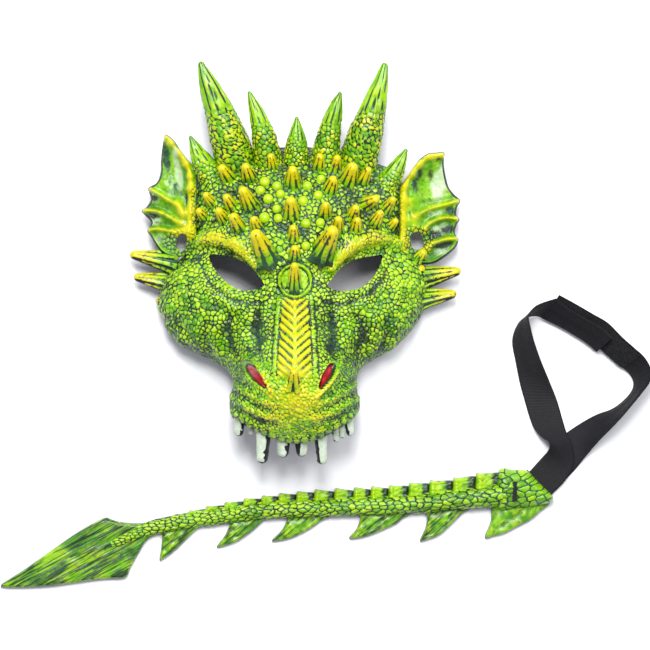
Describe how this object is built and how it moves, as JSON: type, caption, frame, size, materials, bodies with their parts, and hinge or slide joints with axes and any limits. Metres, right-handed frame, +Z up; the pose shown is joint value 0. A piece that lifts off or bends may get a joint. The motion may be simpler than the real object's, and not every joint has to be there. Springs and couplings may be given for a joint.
{
  "type": "dragon costume mask and tail set",
  "caption": "Moulded foam dragon half mask with eye holes, horns, fins and fangs, with a spiked foam dragon tail on an elastic waist strap that closes with hook and loop.",
  "frame": {"origin": "middle of the whole set's footprint, on the surface that the mask's rim and the tail's flat back lie on", "axes": "+X from the tail's blade to its strap, +Y towards the mask's horns, +Z up, out of the mask's face"},
  "size_m": [0.4547, 0.3656, 0.0929],
  "materials": {
    "foam_lime": "satin painted foam",
    "foam_yellow": "satin painted foam",
    "nostril_red": "gloss paint",
    "tooth_white": "satin painted foam",
    "elastic_black": "ribbed elastic",
    "hook_and_loop": "napped loop and hook tape",
    "thread_black": "sewn thread"
  },
  "bodies": {
    "mask": {"forehead_shell": "foam_lime", "face_shell_left": "foam_lime", "face_shell_right": "foam_lime", "muzzle_shell": "foam_lime", "horn_long_left": "foam_lime", "horn_long_right": "foam_lime", "horn_mid_left": "foam_lime", "horn_mid_right": "foam_lime", "horn_centre": "foam_lime", "horn_side_left": "foam_lime", "horn_side_right": "foam_lime", "ear_left": "foam_lime", "ear_right": "foam_lime", "cheek_spikes_left": "foam_yellow", "cheek_spikes_right": "foam_yellow", "brow_ridge_left": "foam_yellow", "brow_ridge_right": "foam_yellow", "forehead_spikes": "foam_yellow", "forehead_pearls": "foam_yellow", "nose_ridge": "foam_yellow", "nose_medallion": "foam_yellow", "nostril_left": "nostril_red", "nostril_right": "nostril_red", "fangs": "tooth_white", "small_teeth": "tooth_white"},
    "tail": {"tail_core": "foam_lime", "tail_plates": "foam_lime", "tail_fins": "foam_lime", "tail_blade": "foam_lime", "tail_base": "foam_lime", "strap_root": "elastic_black", "strap_bar_tack": "thread_black"},
    "strap": {"strap_seam": "elastic_black", "strap_arm_upper": "elastic_black", "strap_arm_lower": "elastic_black", "loop_patch": "hook_and_loop"},
    "strap_flap": {"strap_flap": "elastic_black", "hook_patch": "hook_and_loop"}
  },
  "joints": [
    {"name": "tail_lift", "type": "slide", "parent": "mask", "child": "tail", "axis": [0, 0, 1], "range_m": [0, 0.15]},
    {"name": "strap_swing", "type": "hinge", "parent": "tail", "child": "strap", "pos_m": [0.15101, -0.10683, 0.0017], "axis": [0.735, -0.678, 0], "range_deg": [0, 80]},
    {"name": "strap_peel", "type": "hinge", "parent": "strap", "child": "strap_flap", "pos_m": [0.15653, 0.01121, 0.01203], "axis": [-0.3356, -0.6555, -0.6766], "range_deg": [0, 60]}
  ]
}
